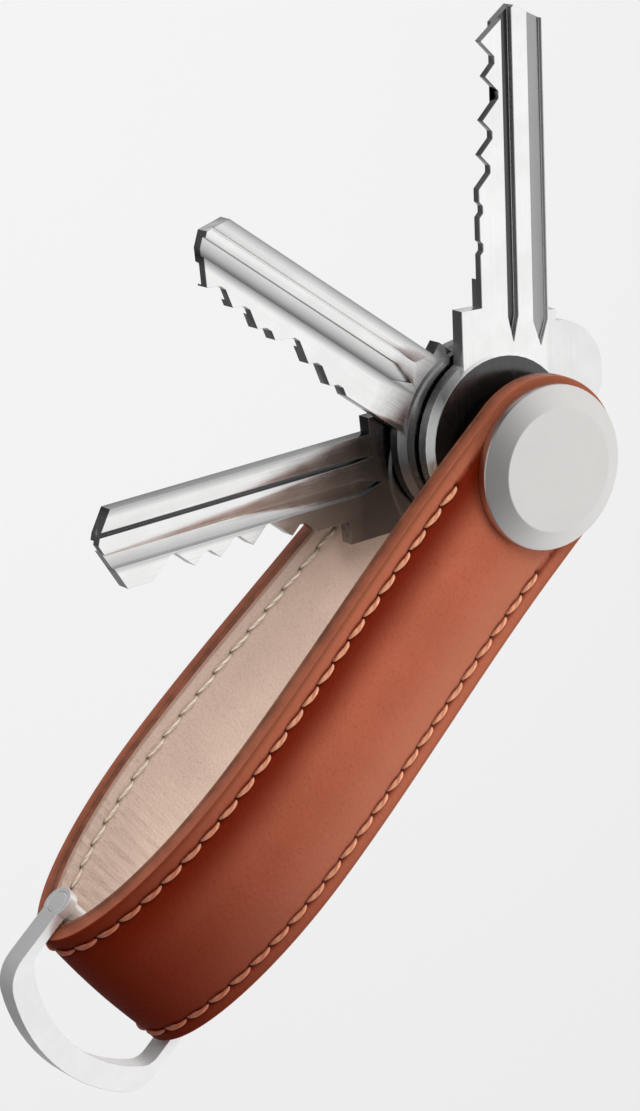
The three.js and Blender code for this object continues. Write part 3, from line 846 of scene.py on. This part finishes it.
def key_metal(name, looks, disc_height):
    """Nickel-plated brass: milling lines along the blade, pocket scratches and handling haze, with
    painted shade and reflection on the floors of the grooves, the top of the disc and along the blade,
    and a painted shadow near the post.
    """
    material, tree, shader = new_material(name)
    metals = settings().metal
    base, key_shade = tuple(metals.nickel), tuple(metals.key_shade)
    shader.inputs["Metallic"].default_value = 1.0
    rotation = (0, 0, -math.radians(looks["angle"]))
    turn = mapping(tree, {"Vector": place(tree), "Rotation": rotation})
    milling = noise(tree, 1.0, 3, 0.6, mapping(tree, {"Vector": turn, "Scale": MILLING_SCALE}))
    sockets = {"Vector": turn, "Rotation": SCRATCH_TURN, "Scale": SCRATCH_SCALE}
    scratch = mapping(tree, sockets)
    scuffs = remap(tree, noise(tree, 1.0, 2, 0.7, scratch), 0.66, 0.74)
    haze = remap(tree, noise(tree, 210, 4), 0.35, 0.7)
    face = mix(tree, haze, shade(base, 0.94), shade(base, 1.02))
    parts = add(tree, "ShaderNodeSeparateXYZ", {"Vector": turn}).outputs
    blade = disc_height - metals.blade_step
    # Painted shade and reflection on the floors of the grooves, by the steps across the blade
    sunk = remap(tree, parts["Z"], blade - 0.3 * MM, blade - 0.04 * MM, 1.0, 0.0)
    sunk = maths(tree, "MULTIPLY", sunk, stepped(tree, parts["Y"], looks["grooves"]))
    # Painted shade and reflection on the top of the bow's disc
    disc_start, disc_end = disc_height - 0.16 * MM, disc_height - 0.02 * MM
    disc = remap(tree, parts["Z"], disc_start, disc_end, 0.0, looks["disc"])
    shaded_faces = maths(tree, "MULTIPLY", maths(tree, "ADD", sunk, disc), attribute(tree, "level"))
    flat = add(tree, "ShaderNodeVectorMath", {0: turn, 1: (1, 1, 0)}, operation="MULTIPLY")
    flat = flat.outputs["Vector"]
    radius = add(tree, "ShaderNodeVectorMath", {0: flat}, operation="LENGTH").outputs["Value"]
    radius = maths(tree, "ADD", radius, maths(tree, "MULTIPLY", haze, 1.5 * MM))
    # Painted shadow round the post, and painted shade in lines along the blade
    painted_shadow = stepped(tree, radius, looks["painted_shadow"])
    painted_shadow = maths(tree, "MAXIMUM", painted_shadow, stepped(tree, parts["Y"], looks["blade"]))
    # The dark key colour laid on here is painted shade, reflection and shadow
    face = mix(tree, maths(tree, "MAXIMUM", shaded_faces, painted_shadow), face, key_shade)
    rough = remap(tree, milling, 0.3, 0.7, 0.13, 0.24)
    rough = maths(tree, "ADD", rough, maths(tree, "MULTIPLY", haze, 0.07))
    dents = bump(tree, maths(tree, "MULTIPLY", scuffs, -1.0), 0.25, 0.012 * MM)
    cover(tree, shader, face, rough, bump(tree, milling, 0.1, 0.02 * MM, dents))
    return material


def nylon_finish():
    """Black nylon with faint clouds and a fine moulded texture."""
    material, tree, shader = new_material("black nylon")
    base = tuple(settings().metal.nylon)
    face = mix(tree, remap(tree, noise(tree, 700, 3), 0.3, 0.7), base, shade(base, 2.2))
    rough = remap(tree, noise(tree, 1200, 2), 0.3, 0.7, 0.35, 0.55)
    cover(tree, shader, face, rough, bump(tree, noise(tree, 3500, 2), 0.3, 0.03 * MM))
    return material


# ---- Operators ----


class ORGANISER_OT_strap(Operator):
    """Build the waxed leather, its lining and the painted edge"""

    bl_idname = "organiser.strap"
    bl_label = "Strap"

    def execute(self, context):
        replaced = ("strap_outer_leather", "strap_stiffener")
        finish_piece(outer_leather(), BODY, waxed_leather(), replaced)
        finish_piece(lining_leather(), BODY, lining_finish(), ("strap_lining",))
        finish_piece(painted_edge(), BODY, edge_paint())
        return {"FINISHED"}


class ORGANISER_OT_stitches(Operator):
    """Sew the needle and bobbin threads along both edges of the strap"""

    bl_idname = "organiser.stitches"
    bl_label = "Stitches"

    def execute(self, context):
        strap = settings().strap
        inside = LINING_DEPTH + strap.lining_thickness
        # The last two arguments give the painted shade of the fold and its share
        needle = thread_finish("tan waxed thread", tuple(strap.needle), NEEDLE_FOLD_SHADE, 0.85)
        bobbin = thread_finish("cream waxed thread", tuple(strap.bobbin), BOBBIN_FOLD_SHADE, 0.5)
        for where, side in (("near", -1), ("far", 1)):
            outer = stitches(f"needle_stitches_{where}", side, 0.0, 1, strap.needle_radius)
            finish_piece(outer, BODY, needle, (f"needle_thread_{where}",))
            inner = stitches(f"bobbin_stitches_{where}", side, inside, -1, strap.bobbin_radius)
            finish_piece(inner, BODY, bobbin, (f"bobbin_thread_{where}",))
        return {"FINISHED"}


class ORGANISER_OT_caps(Operator):
    """Turn the front cap with its post, and finish the slotted back cap"""

    bl_idname = "organiser.caps"
    bl_label = "Caps"

    def execute(self, context):
        metals = settings().metal
        low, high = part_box("front_cap_post")
        seat = high.z - metals.cap_rim - metals.cap_bevel
        corners = [(0, low.z), (metals.post_radius, low.z), (metals.post_radius, seat), (high.x, seat)]
        corners += [(high.x, seat + metals.cap_rim), (metals.cap_face, high.z), (0, high.z)]
        fillet = metals.cap_fillet
        line = rounded(corners, [0.2 * MM, 0.05 * MM, 0.2 * MM, fillet, 1.5 * fillet], 8)
        base, tones = tuple(metals.satin), (0.985, 1.01)
        satin = metal("satin steel", base, 0.32, 0.35, 300, 9000, 0.1, tones)
        cap = turned("front_cap", line, 192)
        finish_piece(cap, BODY, satin, ("front_cap_post",))
        back = softened_copy("back_cap", "back_cap_screw", 0.18 * MM, 3)
        finish_piece(back, BODY, satin, ("back_cap_screw",))
        return {"FINISHED"}


class ORGANISER_OT_washers(Operator):
    """Turn the washers and spacers of the stack, and soften the copies of its bushings"""

    bl_idname = "organiser.washers"
    bl_label = "Washers and bushings"

    def execute(self, context):
        metals = settings().metal
        inner = metals.post_radius + 0.08 * MM
        nylon = nylon_finish()
        names = ("front_friction_washer", "rear_friction_washer", "filler_washer")
        for node in (*names, "front_key_spacer", "rear_key_spacer"):
            made = washer(f"{node}_turned", node, inner, 0.14 * MM)
            finish_piece(made, BODY, nylon, (node,))
        brass = metal("turned brass", tuple(metals.brass), 0.22, 0.34)
        for node in ("front_bushing", "rear_bushing"):
            made = softened_copy(f"{node}_turned", node, 0.08 * MM)
            finish_piece(made, BODY, brass, (node,))
        return {"FINISHED"}


class ORGANISER_OT_keys(Operator):
    """Finish the three keys, with their edges broken and milling lines along each blade"""

    bl_idname = "organiser.keys"
    bl_label = "Keys"

    def execute(self, context):
        for node, body in KEY_BODIES.items():
            made = softened_copy(f"{node}_plated", node, settings().metal.key_bevel)
            mark_level_faces(made.data)
            plated = key_metal(f"nickel of {node}", KEY_LOOKS[node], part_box(node)[1].z)
            finish_piece(made, body, plated, (node,))
        return {"FINISHED"}


class ORGANISER_OT_ring(Operator):
    """Finish the D-ring and the bar that it swings on"""

    bl_idname = "organiser.ring"
    bl_label = "D-ring"

    def execute(self, context):
        metals = settings().metal
        base, tones = tuple(metals.ring), (0.97, 1.02)
        steel = metal("satin ring steel", base, 0.3, 0.36, 260, 5000, 0.06, tones, 0.6)
        ring = softened_copy("d_ring_finished", "d_ring", metals.ring_bevel, 4)
        finish_piece(ring, RING_BODY, steel, ("d_ring",))
        bar = softened_copy("d_ring_bar_finished", "d_ring_bar", 0.15 * MM)
        finish_piece(bar, RING_BODY, steel, ("d_ring_bar",))
        return {"FINISHED"}


def area_light(name, spot, target, size, power):
    """A white disc of light that shows in no reflection."""
    data = bpy.data.lights.new(name, "AREA")
    data.shape = "DISK"
    data.size = size
    data.energy = power
    lamp = bpy.data.objects.new(name, data)
    bpy.context.scene.collection.objects.link(lamp)
    lamp.location = spot
    lamp.rotation_mode = "QUATERNION"
    lamp.rotation_quaternion = (Vector(target) - Vector(spot)).to_track_quat("-Z", "Y")
    lamp.visible_glossy = False


class ORGANISER_OT_stage(Operator):
    """Set the floor, the soft lights and the camera"""

    bl_idname = "organiser.stage"
    bl_label = "Stage"

    def camera(self, studio):
        """Places the camera by its turn and height round what it aims at."""
        turn, lift = studio.azimuth, studio.elevation
        level = math.cos(lift)
        back = Vector((math.sin(turn) * level, -math.cos(turn) * level, math.sin(lift)))
        data = bpy.data.cameras.new("Camera")
        data.sensor_width = 36
        data.lens = studio.lens
        data.clip_start, data.clip_end = 0.01, 20
        made = bpy.data.objects.new("Camera", data)
        bpy.context.scene.collection.objects.link(made)
        made.location = Vector((studio.aim_x, studio.aim_y, MIDDLE_Z)) + back * studio.distance
        made.rotation_mode = "QUATERNION"
        roll = Matrix.Rotation(studio.roll, 3, back).to_quaternion()
        made.rotation_quaternion = roll @ (-back).to_track_quat("-Z", "Y")
        bpy.context.scene.camera = made

    def floor(self, studio):
        """A flat square that glows a little, so that it stays pale away from the lights."""
        level = model_box[0].z - studio.floor_drop
        side = np.linspace(-FLOOR_HALF, FLOOR_HALF, FLOOR_STEPS)
        across, along = np.meshgrid(side, side)
        points = np.stack([across, along, np.full_like(across, level)], axis=-1)
        made = surface("floor", points, grid_quads(FLOOR_STEPS, FLOOR_STEPS))
        material, tree, shader = new_material("pale floor")
        base = tuple(studio.backdrop)
        tone = mix(tree, noise(tree, 3, 2), shade(base, 0.45), shade(base, 0.443))
        tree.links.new(tone, shader.inputs["Base Color"])
        shader.inputs["Roughness"].default_value = 0.9
        shader.inputs["Emission Color"].default_value = (*base, 1)
        shader.inputs["Emission Strength"].default_value = 1.0
        made.data.materials.append(material)
        made.visible_glossy = False

    def world(self):
        """Studio light that is brightest from one side and falls off smoothly to dark opposite,
        with a smaller lit panel low on that dark side.
        """
        world = bpy.data.worlds.new("Studio")
        bpy.context.scene.world = world
        world.use_nodes = True
        tree = world.node_tree
        direction = add(tree, "ShaderNodeTexCoord").outputs["Generated"]
        towards = Vector(MAIN_LIGHT).normalized()
        lit = add(tree, "ShaderNodeVectorMath", {0: direction, 1: towards}, operation="DOT_PRODUCT")
        level = maths(tree, "POWER", remap(tree, lit.outputs["Value"], -0.75, 0.85), 1.6)
        panel = Vector(SECOND_PANEL).normalized()
        low = add(tree, "ShaderNodeVectorMath", {0: direction, 1: panel}, operation="DOT_PRODUCT")
        second = remap(tree, low.outputs["Value"], 0.62, 0.97, 0.0, 0.5)
        level = maths(tree, "MAXIMUM", level, second)
        tone = mix(tree, level, DARK_WORLD, BRIGHT_WORLD)
        background = tree.nodes["Background"]
        tree.links.new(tone, background.inputs["Color"])
        background.inputs["Strength"].default_value = 1.0

    def execute(self, context):
        studio = settings().studio
        context.scene.view_settings.view_transform = "Standard"
        self.camera(studio)
        self.floor(studio)
        self.world()
        area_light("key light", (-0.03, 0.11, 0.1), (0.01, 0, 0), 0.1, 0.145)
        area_light("fill light", (-0.12, -0.32, 0.22), (0.03, 0, 0), 0.3, 1.2)
        return {"FINISHED"}


class ORGANISER_PT_panel(Panel):
    """Lists the pieces of the organiser"""

    bl_idname = "ORGANISER_PT_panel"
    bl_label = "Key Organiser"
    bl_space_type = "VIEW_3D"
    bl_region_type = "UI"
    bl_category = "Key Organiser"

    def draw(self, context):
        for operator in OPERATORS:
            self.layout.operator(operator.bl_idname)
        for group in (settings().strap, settings().metal, settings().studio):
            box = self.layout.box()
            for key in group.bl_rna.properties.keys():
                if key not in ("rna_type", "name"):
                    box.prop(group, key)


SETTINGS = (StrapSettings, MetalSettings, StudioSettings, OrganiserSettings)
OPERATORS = (
    ORGANISER_OT_stage,
    ORGANISER_OT_strap,
    ORGANISER_OT_stitches,
    ORGANISER_OT_caps,
    ORGANISER_OT_washers,
    ORGANISER_OT_keys,
    ORGANISER_OT_ring,
)


def register():
    for made in (*SETTINGS, *OPERATORS, ORGANISER_PT_panel):
        bpy.utils.register_class(made)
    bpy.types.Scene.key_organiser = PointerProperty(type=OrganiserSettings)


def unregister():
    del bpy.types.Scene.key_organiser
    for made in reversed((*SETTINGS, *OPERATORS, ORGANISER_PT_panel)):
        bpy.utils.unregister_class(made)


def main():
    register()
    for operator in OPERATORS:
        group, name = operator.bl_idname.split(".")
        getattr(getattr(bpy.ops, group), name)()


if __name__ == "__main__":
    main()
